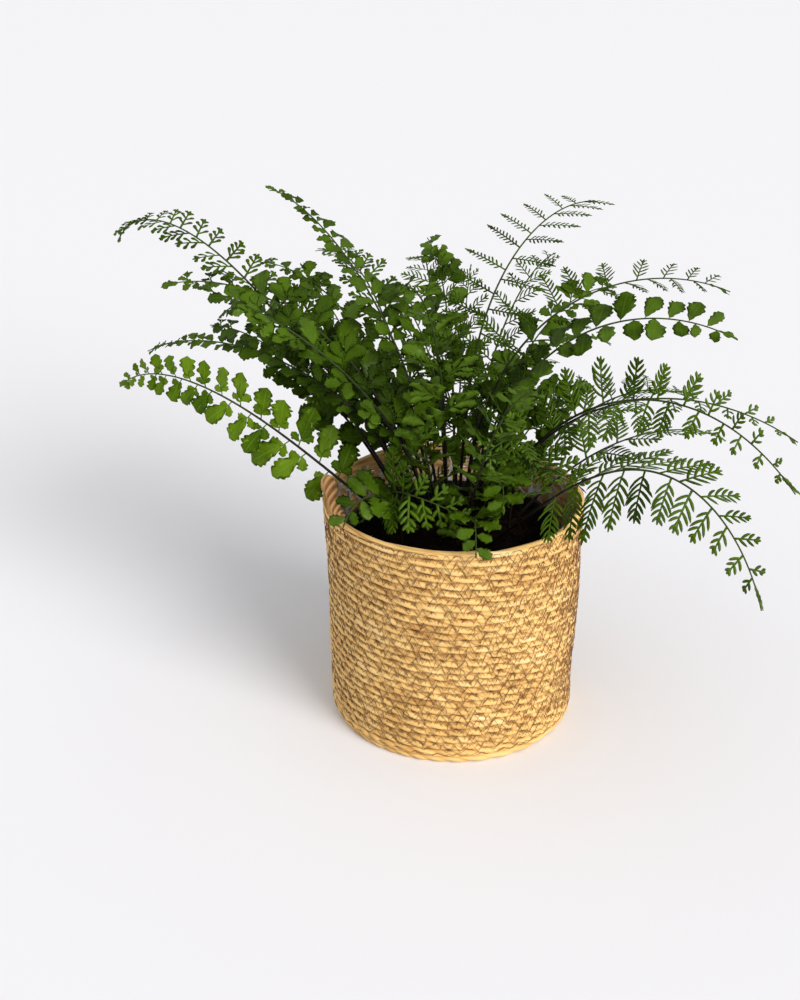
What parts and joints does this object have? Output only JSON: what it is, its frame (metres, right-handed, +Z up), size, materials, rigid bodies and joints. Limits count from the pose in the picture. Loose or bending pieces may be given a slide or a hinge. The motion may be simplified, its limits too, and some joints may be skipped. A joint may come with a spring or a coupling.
{
  "type": "potted fern",
  "caption": "Potted fern: arching fronds, some finely cut and some with broad toothed leaflets, in a round coiled seagrass basket with a small rope handle and a clear liner.",
  "frame": {"origin": "centre of the basket's base, on the surface it stands on", "axes": "+Z up through the basket's mouth, +X to the right and -Y to the front of the view in which the rope handle is at the left of the rim"},
  "size_m": [0.4359, 0.4574, 0.3206],
  "materials": {
    "seagrass": "matte",
    "rope": "matte",
    "clear_film": "gloss",
    "black_plastic": "satin",
    "potting_soil": "matte",
    "scales": "matte",
    "fine_leaf": "satin",
    "broad_leaf": "satin",
    "young_leaf": "satin"
  },
  "bodies": {
    "root": {"basket": "seagrass", "handle": "rope", "liner": "clear_film", "nursery_pot": "black_plastic", "soil": "potting_soil", "crown": "scales", "frond_01": "fine_leaf", "frond_02": "broad_leaf", "frond_03": "broad_leaf", "frond_04": "broad_leaf", "frond_05": "young_leaf", "frond_06": "fine_leaf", "frond_07": "fine_leaf", "frond_08": "fine_leaf", "frond_09": "broad_leaf", "frond_10": "broad_leaf", "frond_11": "fine_leaf", "frond_12": "fine_leaf", "frond_13": "fine_leaf", "frond_14": "fine_leaf", "frond_15": "broad_leaf", "frond_16": "broad_leaf", "frond_17": "fine_leaf", "frond_18": "broad_leaf", "frond_19": "broad_leaf", "frond_20": "broad_leaf", "frond_21": "broad_leaf", "frond_22": "broad_leaf", "frond_23": "broad_leaf", "frond_24": "broad_leaf", "frond_25": "broad_leaf", "frond_26": "fine_leaf", "frond_27": "broad_leaf", "frond_28": "fine_leaf", "frond_29": "broad_leaf", "frond_30": "fine_leaf", "frond_31": "broad_leaf", "frond_32": "broad_leaf", "frond_33": "fine_leaf", "frond_34": "broad_leaf", "frond_35": "broad_leaf", "frond_36": "fine_leaf", "frond_37": "fine_leaf", "frond_38": "broad_leaf", "frond_39": "fine_leaf"}
  },
  "joints": []
}
